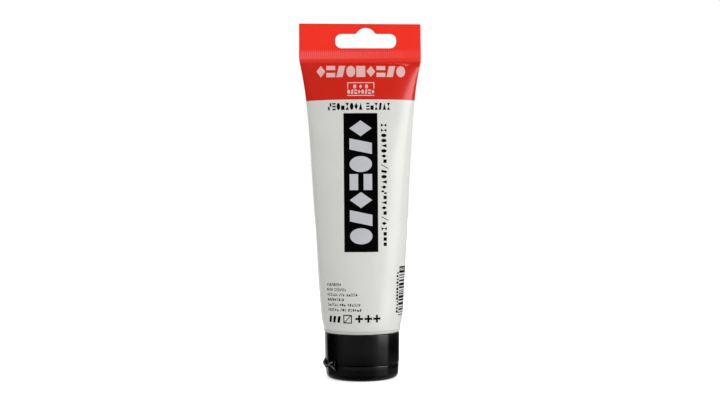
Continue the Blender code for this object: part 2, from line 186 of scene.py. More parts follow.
def noise(nodes, scale, detail=3.0):
    """Noise in the object's own metres. scale is in features per metre."""
    place = nodes.add("TexCoord")
    texture = nodes.add("TexNoise", None, Scale=scale, Detail=detail)
    nodes.set(texture, "Vector", place.outputs["Object"])
    return texture.outputs["Fac"]


def mixed(nodes, share, first, second):
    """A mix of two colours; share is the second one's part."""
    mix = nodes.add("Mix", {"data_type": "RGBA"})
    nodes.set(mix, "Factor", share)
    for socket, value in zip((6, 7), (first, second)):
        linked = isinstance(value, bpy.types.NodeSocket)
        nodes.set(mix, str(socket), value if linked else (*value, 1.0))
    return mix.outputs[2]


def blended(nodes, share, first, second):
    """A mix of two numbers; share is the second one's part."""
    return nodes.add("Mix", {"data_type": "FLOAT"}, Factor=share, A=first, B=second).outputs[0]


def either(nodes, share, first, second):
    """A mix of two shaders; share is the second one's part."""
    mix = nodes.add("MixShader")
    nodes.set(mix, "Fac", share)
    nodes.set(mix, "1", first)
    nodes.set(mix, "2", second)
    return mix.outputs["Shader"]


def calculated(nodes, operation, *values):
    """The result of one Math node."""
    node = nodes.add("Math", {"operation": operation})
    for i, value in enumerate(values):
        nodes.set(node, str(i), value)
    return node.outputs[0]


MOTTLE_SCALE = 90.0
GLOSS_SCALE = 240.0
WAVE_SCALE = 130.0


def moulded(name, colour, roughness, shade=0.9, spread=0.05, grain=2500.0, grain_depth=0.004 * MM,
            wave_depth=0.0, specular=0.5, coat=0.0, metallic=0.0, overlay=None):
    """A plastic, ink or foil finish: mottled colour, uneven gloss, fine grain and a slow wave.

    shade is the darkest share of the colour, spread the change of roughness either way, and grain
    the number of grains per metre. overlay adds to the colour.
    """
    made = bpy.data.materials.new(name)
    nodes = Nodes(made)
    mottle = ranged(nodes, noise(nodes, MOTTLE_SCALE, 4.0), 0.0, 1.0, 0.35, 0.65)
    tint = mixed(nodes, mottle, [share * shade for share in colour], colour)
    tint = overlay(nodes, tint) if overlay else tint
    uneven = noise(nodes, GLOSS_SCALE, 5.0)
    gloss = ranged(nodes, uneven, roughness - spread, roughness + spread, 0.3, 0.7)
    wave = nodes.add("Bump", None, Height=noise(nodes, WAVE_SCALE, 1.0), Distance=wave_depth)
    skin = nodes.add("Bump", None, Height=noise(nodes, grain, 2.0), Distance=grain_depth)
    nodes.set(skin, "Normal", wave.outputs["Normal"])
    shader = nodes.add("BsdfPrincipled", None, Roughness=gloss, Metallic=metallic)
    nodes.set(shader, "Base Color", tint)
    nodes.set(shader, "Normal", skin.outputs["Normal"])
    nodes.set(shader, "Specular IOR Level", specular)
    nodes.set(shader, "Coat Weight", coat)
    nodes.add("OutputMaterial", None, Surface=shader.outputs["BSDF"])
    return made


def crimp_whitening(nodes, tint):
    """Paler crests on the pressed ribs, strongest at the left and fading to the right, over a painted
    highlight on the crease.
    """
    whitening_and_highlight_colour = (0.95, 0.42, 0.42)
    # level of the painted highlight along the crease, between the crimp line and the ribs
    crease_highlight_level = 0.04
    right_share = 0.35
    place = nodes.add("TexCoord")
    parts = nodes.add("SeparateXYZ", None, Vector=place.outputs["Object"])
    x, z = parts.outputs["X"], parts.outputs["Z"]
    wave = calculated(nodes, "COSINE", calculated(nodes, "MULTIPLY", x, math.tau / RIB_PITCH))
    crest = ranged(nodes, wave, 0.30, 1.0, -0.2, 0.9)
    start = ranged(nodes, z, 0.0, 1.0, RIB_LOW, RIB_LOW + RIB_RUN_IN, "SMOOTHSTEP")
    end = ranged(nodes, z, 1.0, 0.0, RIB_HIGH - 2.0 * MM, RIB_HIGH + 0.5 * MM, "SMOOTHSTEP")
    weakest = right_share * RIB_WHITENING
    fade = ranged(nodes, x, RIB_WHITENING, weakest, -0.2 * FLAT_HALF, 0.8 * FLAT_HALF)
    ribs = calculated(nodes, "MULTIPLY", calculated(nodes, "MULTIPLY", crest, fade), start)
    # painted highlight: a faint pale band on the crease below the ribs
    band = ranged(nodes, z, crease_highlight_level, 0.0, RIB_LOW, RIB_LOW + RIB_RUN_IN, "SMOOTHSTEP")
    share = calculated(nodes, "MULTIPLY", calculated(nodes, "ADD", ribs, band), end)
    return mixed(nodes, share, tint, whitening_and_highlight_colour)


def translucent(made, colour, share):
    """Lets some light through a finish, as through the thin tab of the sleeve."""
    nodes = made.node_tree.nodes
    links = made.node_tree.links
    shader = next(node for node in nodes if node.type == "BSDF_PRINCIPLED")
    output = next(node for node in nodes if node.type == "OUTPUT_MATERIAL")
    through = nodes.new("ShaderNodeBsdfTranslucent")
    through.inputs["Color"].default_value = (*colour, 1.0)
    mix = nodes.new("ShaderNodeMixShader")
    mix.inputs["Fac"].default_value = share
    links.new(shader.outputs["BSDF"], mix.inputs[1])
    links.new(through.outputs["BSDF"], mix.inputs[2])
    links.new(mix.outputs["Shader"], output.inputs["Surface"])
    return made


def sleeve_film(name, colour, roughness, shade, spread, overlay=None):
    """The smooth, evenly glossy film of the sleeve, plain or under its red print."""
    return moulded(name, colour, roughness, shade, spread, 1800.0, 0.003 * MM, overlay=overlay)


def white_film():
    return sleeve_film("sleeve_white", (0.80, 0.80, 0.765), 0.21, 0.97, 0.015)


def red_film():
    return sleeve_film("print_red", (0.74, 0.014, 0.002), 0.16, 0.95, 0.015)


def tab_film():
    """The red of the flat tab, which light shines through, whitened on its ribs and with a painted
    highlight on its crease.
    """
    made = sleeve_film("print_red_tab", (0.97, 0.080, 0.045), 0.24, 0.95, 0.02, crimp_whitening)
    return translucent(made, (1.0, 0.12, 0.075), 0.62)


def ink(name, display_colour, shade, specular):
    """Dull printing ink. Its colour is given as 0-255 display values."""
    return moulded(name, srgb(*display_colour), 0.30, shade, specular=specular)


def cap_plastic():
    """Glossy black, with a slight waviness in its reflections."""
    colour = (0.0026, 0.0018, 0.0025)
    return moulded("cap_black", colour, 0.14, 0.8, 0.03, grain_depth=0.002 * MM, wave_depth=0.01 * MM)


def natural_plastic():
    return moulded("natural_plastic", (0.70, 0.70, 0.66), 0.42)


def foil_laminate():
    colour = (0.78, 0.78, 0.80)
    return moulded("foil_laminate", colour, 0.28, 0.9, 0.06, 900.0, 0.02 * MM, metallic=0.95)


def ring_foam():
    return moulded("ring_foam", (0.80, 0.80, 0.77), 0.85, 0.85, 0.05, 3000.0, 0.05 * MM)


def wet_paint():
    return moulded("wet_paint", (0.80, 0.80, 0.76), 0.25, 0.98, 0.05, 500.0, 0.05 * MM, coat=0.6)


# Mesh helpers


def add_mesh(name, vertices, faces, *materials):
    """Turns lists of vertices and faces into an object of the scene."""
    mesh = bpy.data.meshes.new(name)
    mesh.from_pydata([tuple(v) for v in vertices], [], faces)
    mesh.validate()
    obj = bpy.data.objects.new(name, mesh)
    bpy.context.scene.collection.objects.link(obj)
    for made in materials:
        mesh.materials.append(made)
    return obj


def object_from(bm, name, finish):
    """Turns a bmesh into an object of the scene with one material."""
    mesh = bpy.data.meshes.new(name)
    bm.to_mesh(mesh)
    bm.free()
    obj = bpy.data.objects.new(name, mesh)
    bpy.context.scene.collection.objects.link(obj)
    mesh.materials.append(finish)
    return obj


def shade_smooth(obj, degrees=35):
    """Smooth shading, except across edges sharper than the angle."""
    obj.data.shade_smooth()
    obj.data.set_sharp_from_angle(angle=math.radians(degrees))
    return obj


def apply_modifiers(obj):
    """Turns the shape that the modifiers make into the object's own mesh."""
    evaluated = obj.evaluated_get(bpy.context.evaluated_depsgraph_get())
    mesh = bpy.data.meshes.new_from_object(evaluated)
    obj.modifiers.clear()
    obj.data = mesh


def cut_or_join(obj, other, operation):
    """Applies a Boolean to obj and removes the other object."""
    modifier = obj.modifiers.new(operation, "BOOLEAN")
    modifier.object = other
    modifier.operation = operation
    apply_modifiers(obj)
    bpy.data.objects.remove(other)


def filleted(corners, steps=6):
    """An outline with rounded corners, each given as (across, up, fillet radius); 0 stays sharp."""
    points = []
    for i, (x, y, radius) in enumerate(corners):
        here = Vector((x, y))
        if radius == 0:
            points.append((x, y))
            continue
        before = (Vector(corners[i - 1][:2]) - here).normalized()
        after = (Vector(corners[(i + 1) % len(corners)][:2]) - here).normalized()
        half_angle = before.angle(after) / 2
        centre = here + (before + after).normalized() * radius / math.sin(half_angle)
        start = here + before * radius / math.tan(half_angle) - centre
        sweep = before.angle_signed(-after)
        for step in range(steps + 1):
            turned = start.copy()
            turned.rotate(Matrix.Rotation(-sweep * step / steps, 2))
            points.append(tuple(centre + turned))
    return points


def lathe(name, outline, finish, closed=True):
    """A turned piece from an outline of (radius, height). An open outline ends on the axis."""
    turn = np.linspace(0, math.tau, LATHE_STEPS, endpoint=False)
    vertices, rings = [], []
    for radius, height in outline:
        if radius < 1e-7:
            rings.append([len(vertices)] * LATHE_STEPS)
            vertices.append((0.0, 0.0, height))
            continue
        rings.append(list(range(len(vertices), len(vertices) + LATHE_STEPS)))
        vertices += [(radius * math.cos(a), radius * math.sin(a), height) for a in turn]
    pairs = list(zip(rings, rings[1:])) + ([(rings[-1], rings[0])] if closed else [])
    faces = []
    for upper, lower in pairs:
        for i in range(LATHE_STEPS):
            j = (i + 1) % LATHE_STEPS
            corners = (upper[i], lower[i], lower[j], upper[j])
            faces.append(tuple(dict.fromkeys(corners)))
    return shade_smooth(add_mesh(name, vertices, faces, finish))


def thread(name, root, crest, start, finish):
    """A helical ridge, to be joined to a wall at the root radius.

    Its ends taper to a tenth of its section, each over about a ninth of its length.
    """
    steps = round(LATHE_STEPS / 2 * THREAD_TURNS)
    vertices, faces = [], []
    for i in range(steps + 1):
        turns = THREAD_TURNS * i / steps
        angle = math.tau * turns
        height = start + THREAD_PITCH * turns
        fade = min(1.0, 8 * min(i, steps - i) / steps + 0.1)
        reach = root + (crest - root) * fade
        section = (
            (root, -THREAD_ROOT_HALF),
            (reach, -THREAD_CREST_HALF),
            (reach, THREAD_CREST_HALF),
            (root, THREAD_ROOT_HALF),
        )
        for radius, up in section:
            vertices.append((radius * math.cos(angle), radius * math.sin(angle), height + up * fade))
    for i in range(steps):
        for k in range(4):
            near, far = 4 * i + k, 4 * i + (k + 1) % 4
            faces.append((near, near + 4, far + 4, far))
    faces += [(0, 1, 2, 3), tuple(4 * steps + k for k in (3, 2, 1, 0))]
    ridge = add_mesh(name, vertices, faces, finish)
    outward(ridge.data)
    return ridge


def outward(mesh):
    """Turns the faces of a closed mesh outwards."""
    bm = bmesh.new()
    bm.from_mesh(mesh)
    bmesh.ops.recalc_face_normals(bm, faces=bm.faces)
    bm.to_mesh(mesh)
    bm.free()


# The sleeve's surface


def half_width(z, swell_over=SWELL_OVER):
    """Half width of the sleeve: round at the shoulder, flaring quickly just under the crimp."""
    if z <= WELD:
        return TUBE_RADIUS - END_DRAW_IN * ((WELD - z) / (WELD - SLEEVE_LOW.z)) ** 2
    t = min(1.0, (z - WELD) / (CRIMP - WELD))
    share = SWELL * (1 - math.exp(-t / swell_over)) + TAPER * t + (1 - SWELL - TAPER) * t**FLARE_POWER
    return TUBE_RADIUS + (FLAT_HALF - TUBE_RADIUS) * share


def half_depth(z):
    """Half depth of an ellipse with the sleeve's girth, by bisection on Ramanujan's formula.

    The width's swell is spread over a longer run here, so that the sides get no lip at the weld.
    """
    width = half_width(z, 5 * SWELL_OVER)
    if z <= WELD:
        return width
    low, high = 0.0, TUBE_RADIUS
    for _ in range(40):
        depth = (low + high) / 2
        length = math.pi * (3 * (width + depth) - math.sqrt((3 * width + depth) * (width + 3 * depth)))
        low, high = (depth, high) if length < GIRTH else (low, depth)
    return depth


def smoothstep(x, low, high):
    """Rises from 0 at low to 1 at high, level at both ends."""
    t = np.clip((x - low) / (high - low), 0.0, 1.0)
    return t * t * (3 - 2 * t)


def sleeve_ring(z, inset=0.0):
    """Points round the sleeve at a height, evenly spaced from the front's middle towards +X."""
    flatness = float(np.clip(1 - (CRIMP - z) / FLATTEN_OVER, 0.0, 1.0))
    width = half_width(z) - inset
    depth = max(half_depth(z) * (1 - flatness) + WALL * flatness - inset, 0.1 * WALL)
    over = max(0.0, z - (TOP - TOP_ROUNDING)) / TOP_ROUNDING
    shrink = TOP_ROUNDING * (1 - math.sqrt(1 - 0.96 * over * over))
    turn = np.linspace(0.0, math.tau, SECTION_SAMPLES)
    bow = np.cos(turn)
    slab = np.clip(bow * TAB_EDGE, -1.0, 1.0)
    across = (width - shrink) * np.sin(turn)
    back = -(depth - shrink) * (bow + (slab - bow) * flatness)
    run = np.concatenate([[0.0], np.cumsum(np.hypot(np.diff(across), np.diff(back)))])
    even = np.linspace(0.0, run[-1], COLUMNS, endpoint=False)
    ring = np.zeros((COLUMNS, 3))
    ring[:, 0] = np.interp(even, run, across)
    ring[:, 1] = np.interp(even, run, back)
    ring[:, 2] = z
    return ring


def sleeve_heights():
    """Heights of the sleeve's rows, closer together where its shape changes fastest."""
    bands = [
        (SLEEVE_LOW.z, WELD + 3 * MM, 0.4 * MM),
        (WELD + 3 * MM, RED_EDGE, 2.0 * MM),
        (RED_EDGE, CRIMP - 8 * MM, 1.2 * MM),
        (CRIMP - 8 * MM, CRIMP - 3 * MM, 0.3 * MM),
        (CRIMP - 3 * MM, RIB_HIGH + 1 * MM, 0.25 * MM),
        (RIB_HIGH + 1 * MM, TOP - TOP_ROUNDING, 1.2 * MM),
        (TOP - TOP_ROUNDING, TOP, 0.06 * MM),
    ]
    rows = []
    for low, high, step in bands:
        rows.append(np.linspace(low, high, math.ceil((high - low) / step), endpoint=False))
    return np.concatenate(rows + [[TOP]])


def rib_relief(x, z):
    """Height of the pressed ribs: strong just above the crimp line, faint higher up at the sides."""
    wave = 0.5 + 0.5 * np.cos(math.tau * x / RIB_PITCH)
    starting = smoothstep(z, RIB_LOW, RIB_LOW + RIB_RUN_IN)
    ending = smoothstep(z, RIB_HIGH - 1.5 * MM, RIB_HIGH)
    weaker_right = 1 - 0.45 * smoothstep(x, 0.1 * FLAT_HALF, 0.8 * FLAT_HALF)
    sides = smoothstep(np.abs(x), 0.4 * FLAT_HALF, 0.75 * FLAT_HALF)
    faint = ending * (1 - smoothstep(z, RIB_HIGH, FAINT_RIB_TOP)) * sides
    return RIB_HEIGHT * wave * (starting * (1 - ending) * weaker_right + FAINT_RIB_SHARE * faint)


def dent_relief(s, z):
    """Slow dents of a soft wall that has been handled, fading out at the shoulder and the crimp."""
    wander = (
        np.sin(math.tau * (2 * s / GIRTH + 0.13 + 9 * z))
        + 0.7 * np.sin(math.tau * (3 * s / GIRTH + 0.55 - 14 * z))
        + 0.5 * np.sin(math.tau * (5 * s / GIRTH + 0.31 + 23 * z))
    )
    from_shoulder = smoothstep(z, WELD + 4 * MM, WELD + 30 * MM)
    to_crimp = 1 - smoothstep(z, CRIMP - 25 * MM, CRIMP - 4 * MM)
    return DENT * wander * from_shoulder * to_crimp


def grid_normals(grid):
    """Outward unit normals of a grid of rings."""
    around = np.roll(grid, -1, axis=1) - np.roll(grid, 1, axis=1)
    upward = np.gradient(grid, axis=0)
    normals = np.cross(around, upward)
    return normals / np.linalg.norm(normals, axis=2, keepdims=True)


def sleeve_grid():
    """The sleeve's outer surface as rows of rings, with its ribs, dents and slanted crimp line."""
    heights = sleeve_heights()
    grid = np.array([sleeve_ring(z) for z in heights])
    s = np.arange(COLUMNS) * GIRTH / COLUMNS
    s = np.where(s > GIRTH / 2, s - GIRTH, s)[None, :]
    z = heights[:, None]
    relief = rib_relief(grid[:, :, 0], z) + dent_relief(s, z)
    grid += grid_normals(grid) * relief[:, :, None]
    near_crimp = smoothstep(z, CRIMP - SLANT_REACH, CRIMP)
    near_top = smoothstep(z, CRIMP, TOP)
    grid[:, :, 2] -= CRIMP_SLANT * grid[:, :, 0] * near_crimp + SLANT_DROP * near_top
    return heights, grid


ROW_HEIGHTS, SLEEVE_GRID = sleeve_grid()
SLEEVE_NORMALS = grid_normals(SLEEVE_GRID)


def on_sleeve(s, z, lift=0.0):
    """The point of the sleeve's outer surface at (s, z), raised by lift along its normal."""
    column = (s / GIRTH % 1.0) * COLUMNS
    row = float(np.interp(z, ROW_HEIGHTS, np.arange(len(ROW_HEIGHTS))))
    i, j = min(int(row), len(ROW_HEIGHTS) - 2), int(column) % COLUMNS
    u, v = row - i, column - int(column)
    k = (j + 1) % COLUMNS

    def between(table):
        low = table[i, j] * (1 - v) + table[i, k] * v
        high = table[i + 1, j] * (1 - v) + table[i + 1, k] * v
        return low * (1 - u) + high * u

    return between(SLEEVE_GRID) + between(SLEEVE_NORMALS) * lift


def slot_cutter():
    """A prism with the hanging slot's outline: a rounded bar with a round hump in its upper edge."""
    centre = SLOT_HEIGHT + HUMP_RISE - HUMP_RADIUS
    up = SLOT_HEIGHT + HUMP_FILLET - centre
    across = math.sqrt((HUMP_RADIUS + HUMP_FILLET) ** 2 - up**2)
    tangent = math.atan2(up, across)
    half = SLOT_WIDTH / 2

    def arc(x, y, radius, start, end, steps=12):
        angles = np.linspace(start, end, steps)
        return [(x + radius * math.cos(a), y + radius * math.sin(a)) for a in angles]

    quarter = math.pi / 2
    outline = (
        arc(-half + SLOT_CORNER, SLOT_CORNER, SLOT_CORNER, -quarter, -2 * quarter)
        + arc(-half + SLOT_CORNER, SLOT_HEIGHT - SLOT_CORNER, SLOT_CORNER, 2 * quarter, quarter)
        + arc(-across, SLOT_HEIGHT + HUMP_FILLET, HUMP_FILLET, -quarter, -tangent)
        + arc(0.0, centre, HUMP_RADIUS, math.pi - tangent, tangent, 24)[1:-1]
        + arc(across, SLOT_HEIGHT + HUMP_FILLET, HUMP_FILLET, math.pi + tangent, 3 * quarter)
        + arc(half - SLOT_CORNER, SLOT_HEIGHT - SLOT_CORNER, SLOT_CORNER, quarter, 0.0)
        + arc(half - SLOT_CORNER, SLOT_CORNER, SLOT_CORNER, 0.0, -quarter)
    )
    count = len(outline)
    reach = 5 * MM
    vertices = [(SLOT_OFFSET + x, y, SLOT_BOTTOM + z) for y in (-reach, reach) for x, z in outline]
    faces = [tuple(range(count)), tuple(range(2 * count - 1, count - 1, -1))]
    faces += [(i, i + count, (i + 1) % count + count, (i + 1) % count) for i in range(count)]
    cutter = add_mesh("slot_cutter", vertices, faces)
    outward(cutter.data)
    middle = Matrix.Translation((SLOT_OFFSET, 0.0, SLOT_BOTTOM + SLOT_HEIGHT / 2))
    cutter.data.transform(middle @ Matrix.Rotation(SLOT_TILT, 4, "Y") @ middle.inverted())
    return cutter


def make_sleeve(white, red, tab_red):
    """The sleeve: outer and inner walls, closed at the top, with the print's red zone and the slot."""
    inner = [sleeve_ring(z, WALL) for z in np.linspace(CRIMP - 0.2 * MM, SLEEVE_LOW.z, 24)]
    rings = inner + list(SLEEVE_GRID)
    vertices = np.concatenate(rings)
    faces = []
    for row in range(len(rings) - 1):
        low, high = row * COLUMNS, (row + 1) * COLUMNS
        for i in range(COLUMNS):
            j = (i + 1) % COLUMNS
            faces.append((low + i, low + j, high + j, high + i))
    for ring in (0, len(rings) - 1):
        start = ring * COLUMNS
        for i in range(-COLUMNS // 4, COLUMNS // 4):
            front_and_back = (i, i + 1, COLUMNS // 2 - i - 1, COLUMNS // 2 - i)
            corners = [start + column % COLUMNS for column in front_and_back]
            faces.append(tuple(dict.fromkeys(corners)))
    sleeve = add_mesh("sleeve_skin", vertices, faces, white, red, tab_red)
    outward(sleeve.data)
    cut_or_join(sleeve, slot_cutter(), "DIFFERENCE")
    for face in sleeve.data.polygons:
        face.material_index = print_zone(face.center.z, abs(face.normal.y))
    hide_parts("tube_sleeve")
    return shade_smooth(sleeve, 40)


def print_zone(z, facing):
    """The sleeve's material at a height: 0 white, 1 red, 2 the tab's red. Cut edges stay white."""
    if z <= RED_EDGE or (facing <= 0.3 and z >= CRIMP):
        return 0
    return 2 if z > CRIMP - SEAL_DEPTH else 1


# Print. Every mark is a plain geometric shape in a unit square, so that nothing reads as lettering.


def disc(steps=28):
    """A round mark."""
    turn = np.linspace(0.0, math.tau, steps, endpoint=False)
    return [[(0.5 + 0.5 * math.cos(a), 0.5 + 0.5 * math.sin(a)) for a in turn]]


def bar(left, right, low=0.0, high=1.0, lean=0.0):
    """A straight mark, whose upper edge is shifted by lean."""
    return [(left, low), (right, low), (right + lean, high), (left + lean, high)]


def plus(arm=0.37):
    """A cross whose arms are as long as arm and as wide as what arm leaves between them."""
    quarter = [(arm, 0.0), (1 - arm, 0.0), (1 - arm, arm)]
    outline = []
    for _ in range(4):
        outline += quarter
        quarter = [(1 - y, x) for x, y in quarter]
    return [outline]


SHAPES = {
    "disc": disc(),
    "triangle": [[(0.0, 0.0), (1.0, 0.0), (0.5, 1.0)]],
    "diamond": [[(0.5, 0.0), (1.0, 0.5), (0.5, 1.0), (0.0, 0.5)]],
    "block": [bar(0.0, 1.0)],
    "slant": [bar(0.0, 0.7, lean=0.3)],
    "twin": [bar(0.0, 1.0, 0.0, 0.38), bar(0.0, 1.0, 0.62, 1.0)],
    "low": [bar(0.0, 1.0, 0.0, 0.62)],
    "hourglass": [[(0.0, 0.0), (1.0, 0.0), (0.5, 0.48)], [(0.5, 0.52), (1.0, 1.0), (0.0, 1.0)]],
    "checker": [bar(0.0, 0.48, 0.0, 0.48), bar(0.52, 1.0, 0.52, 1.0)],
    "stripes": [bar(0.0, 1.0, 0.0, 0.2), bar(0.0, 1.0, 0.4, 0.6), bar(0.0, 1.0, 0.8, 1.0)],
    "plus": plus(),
}


def placed(shape, left, low, width, height):
    """A shape's outlines on the sleeve, read upright."""
    return [[(left + u * width, low + v * height) for u, v in outline] for outline in SHAPES[shape]]


def placed_upwards(shape, right, low, height, length):
    """A shape's outlines on the sleeve, read from the bottom upwards."""
    return [[(right - v * height, low + u * length) for u, v in outline] for outline in SHAPES[shape]]


def print_on_sleeve(name, outlines, finish, rise=2 * INK_STEP, lift=INK_LIFT):
    """Outlines in (s, z), as a thin layer of ink that follows the sleeve, cut into rows of the rise."""
    bm = bmesh.new()
    for outline in outlines:
        bm.faces.new([bm.verts.new((s, z, 0.0)) for s, z in outline])
    s_values = [v.co.x for v in bm.verts]
    z_values = [v.co.y for v in bm.verts]
    cut_into_steps(bm, s_values, Vector((1, 0, 0)), INK_STEP)
    cut_into_steps(bm, z_values, Vector((0, 1, 0)), rise)
    bmesh.ops.recalc_face_normals(bm, faces=bm.faces)
    for vertex in bm.verts:
        vertex.co = Vector(on_sleeve(vertex.co.x, vertex.co.y, lift))
    bm.normal_update()
    inward = []
    for face in bm.faces:
        middle = face.calc_center_median()
        if face.normal.x * middle.x + face.normal.y * middle.y < 0:
            inward.append(face)
    bmesh.ops.reverse_faces(bm, faces=inward)
    layer = object_from(bm, name, finish)
    solidify = layer.modifiers.new("thickness", "SOLIDIFY")
    solidify.thickness = INK_DEPTH
    solidify.offset = -1.0
    apply_modifiers(layer)
    shade_smooth(layer)
    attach(layer, "tube")


def cut_into_steps(bm, values, normal, step):
    """Cuts flat outlines at even steps, but not close to the ends, where slivers would form."""
    closest = 0.05 * step
    first = math.floor((min(values) + closest) / step + 1) * step
    for place in np.arange(first, max(values) - closest, step):
        geometry = bm.verts[:] + bm.edges[:] + bm.faces[:]
        bmesh.ops.bisect_plane(bm, geom=geometry, plane_co=normal * place, plane_no=normal)


def word(shapes, left, low, width, height, gap):
    """Marks side by side, evenly wide, that fill the width."""
    each = (width - gap * (len(shapes) - 1)) / len(shapes)
    outlines = []
    for i, shape in enumerate(shapes):
        outlines += placed(shape, left + i * (each + gap), low, each, height)
    return outlines


FINE_SHAPES = ("disc", "triangle", "diamond", "hourglass", "checker", "stripes", "slant", "low")


def random_shapes(rng, count, choices=FINE_SHAPES):
    """Names of shapes, one draw for each."""
    return [rng.choice(choices) for _ in range(count)]


def make_top_marks(pale):
    """The row of large marks under the crimp."""
    marks = ("diamond", "twin", "slant", "disc", "block", "diamond", "twin", "slant", "disc")
    left, low, width, height, gap = -22.5 * MM, 154.0 * MM, 45.7 * MM, 6.0 * MM, 0.55 * MM
    outlines = word(marks, left, low, width, height, gap)
    print_on_sleeve("print_top_marks", outlines, pale, rise=0.4 * INK_STEP)


def make_badge(pale):
    """A small frame, open at the sides, round two rows of marks."""
    left, right, low, high, line = -6.6 * MM, 7.2 * MM, 144.1 * MM, 151.2 * MM, 0.45 * MM
    drop = 3.3 * MM
    outlines = [
        bar(left, right, high - line, high),
        bar(left, left + line, high - drop, high - line),
        bar(right - line, right, high - drop, high - line),
        bar(left, right, low, low + line),
    ]
    outlines += word(("disc", "diamond", "disc"), -3.6 * MM, 147.9 * MM, 7.6 * MM, 2.2 * MM, 1.4 * MM)
    lower = 2 * ("disc", "slant", "twin", "diamond")
    outlines += word(lower, left, low + 1.0 * MM, right - left, 2.3 * MM, 0.35 * MM)
    print_on_sleeve("print_badge", outlines, pale)


def make_heading(black):
    """Two groups of marks under the red zone."""
    rng = random.Random(5)
    low, height, gap = 136.9 * MM, 3.6 * MM, 0.5 * MM
    outlines = word(random_shapes(rng, 8), -16.6 * MM, low, 17.6 * MM, height, gap)
    outlines += word(random_shapes(rng, 6), 3.0 * MM, low, 12.2 * MM, height, gap)
    print_on_sleeve("print_heading", outlines, black)


def make_title(black, grey):
    """The black panel with a column of grey marks, read from the bottom upwards."""
    print_on_sleeve("print_panel", [bar(-8.65 * MM, 8.6 * MM, 65.0 * MM, 135.2 * MM)], black)
    right, low, height, length, pitch = 5.65 * MM, 68.9 * MM, 11.35 * MM, 8.1 * MM, 9.08 * MM
    marks = ("disc", "slant", "diamond", "twin", "disc", "slant", "diamond")
    outlines = []
    for i, shape in enumerate(marks):
        outlines += placed_upwards(shape, right, low + i * pitch, height, length)
    print_on_sleeve("print_title", outlines, grey, lift=1.6 * INK_LIFT)


def make_side_column(black):
    """Small marks in three groups up the side of the panel, with slanted strokes between them."""
    rng = random.Random(11)
    low, pitch, length, height, right = 67.9 * MM, 2.62 * MM, 1.75 * MM, 2.8 * MM, 13.2 * MM
    stroke_right, stroke_left, stroke_rise, stroke_width = 14.0 * MM, 10.4 * MM, 1.5 * MM, 0.4 * MM
    groups = (5, 9, 8)
    outlines = []
    for group, count in enumerate(groups):
        for shape in random_shapes(rng, count):
            outlines += placed_upwards(shape, right, low, height, length)
            low += pitch
        if group < len(groups) - 1:
            outlines.append([
                (stroke_right, low - stroke_width),
                (stroke_right, low),
                (stroke_left, low + stroke_rise + stroke_width),
                (stroke_left, low + stroke_rise),
            ])
            low += pitch
    print_on_sleeve("print_side_column", outlines, black)


def make_small_print(dark):
    """Six short lines of tiny marks, each line with its own number of words."""
    rng = random.Random(23)
    lines = ((8,), (4, 6), (6, 3, 5), (9,), (6, 3, 6), (6, 3, 6))
    left, top, line_pitch, line_shift = -19.4 * MM, 48.0 * MM, 2.52 * MM, 0.12 * MM
    widest, height, gap, space = 1.05 * MM, 1.35 * MM, 0.28 * MM, 0.75 * MM
    outlines = []
    for number, words in enumerate(lines):
        at, low = left + line_shift * number, top - line_pitch * number
        for count in words:
            for shape in random_shapes(rng, count):
                wide = widest * rng.uniform(0.6, 1.0)
                outlines += placed(shape, at, low, wide, height)
                at += wide + gap
            at += space
    print_on_sleeve("print_small_lines", outlines, dark)


def make_symbols(black):
    """Three blocks, a square with a diagonal and three plus marks."""
    outlines = word(3 * ("slant",), -18.5 * MM, 29.7 * MM, 7.6 * MM, 3.2 * MM, 0.5 * MM)
    left, right, low, high, line = -9.5 * MM, -5.0 * MM, 29.5 * MM, 33.75 * MM, 0.5 * MM
    outlines += [
        bar(left, right, high - line, high),
        bar(left, right, low, low + line),
        bar(left, left + line, low + line, high - line),
        bar(right - line, right, low + line, high - line),
        bar(left + line, left + 2 * line, low + line, high - line, right - left - 3 * line),
    ]
    size = 3.8 * MM
    for middle in (-1.33 * MM, 3.18 * MM, 7.56 * MM):
        outlines += placed("plus", middle - size / 2, 29.9 * MM, size, size)
    print_on_sleeve("print_symbols", outlines, black)


def make_stripe_code(black):
    """A block of stripes of random widths round the side, with a column of small marks beside it."""
    rng = random.Random(37)
    left, right, low, top = 21.5 * MM, 31.4 * MM, 32.5 * MM, 56.5 * MM
    outlines = []
    while low < top:
        wide = rng.choice((0.45, 0.6, 0.9, 1.3)) * MM
        outlines.append(bar(left, right, low, low + wide))
        low += wide + rng.choice((0.35, 0.5, 0.8)) * MM
    column_low, pitch, height, length = 34.0 * MM, 1.62 * MM, 1.6 * MM, 1.2 * MM
    for i, shape in enumerate(random_shapes(rng, 13, ("disc", "block", "triangle", "diamond"))):
        outlines += placed_upwards(shape, left - 0.5 * MM, column_low + i * pitch, height, length)
    print_on_sleeve("print_stripe_code", outlines, black)


# Cap and tube head


def make_head(finish):
    """The tube's moulded head: a shoulder inside the sleeve and a threaded neck under it."""
    rim = TUBE_RADIUS - END_DRAW_IN
    under, rim_top, top = BASE_HIGH.z + 0.3 * MM, SLEEVE_LOW.z - 0.1 * MM, HEAD_HIGH.z
    neck, bore, mouth = 8.0 * MM, 6.0 * MM, HEAD_LOW.z
    in_sleeve = rim - WALL - 0.1 * MM
    outline = filleted([
        (in_sleeve, top, 0.0),
        (in_sleeve, rim_top, 0.0),
        (rim, rim_top, 0.2 * MM),
        (rim, under, 1.0 * MM),
        (neck, under, 0.8 * MM),
        (neck, mouth, 0.4 * MM),
        (bore, mouth, 0.2 * MM),
        (bore, 25.0 * MM, 0.8 * MM),
        (17.4 * MM, 27.2 * MM, 0.5 * MM),
        (17.9 * MM, top, 0.0),
    ])
    head = lathe("tube_head", outline, finish)
    ridge = thread("neck_thread", neck - 0.3 * MM, neck + 1.0 * MM, 12.5 * MM, finish)
    cut_or_join(head, ridge, "UNION")
    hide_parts("shoulder_neck")
    return shade_smooth(head)


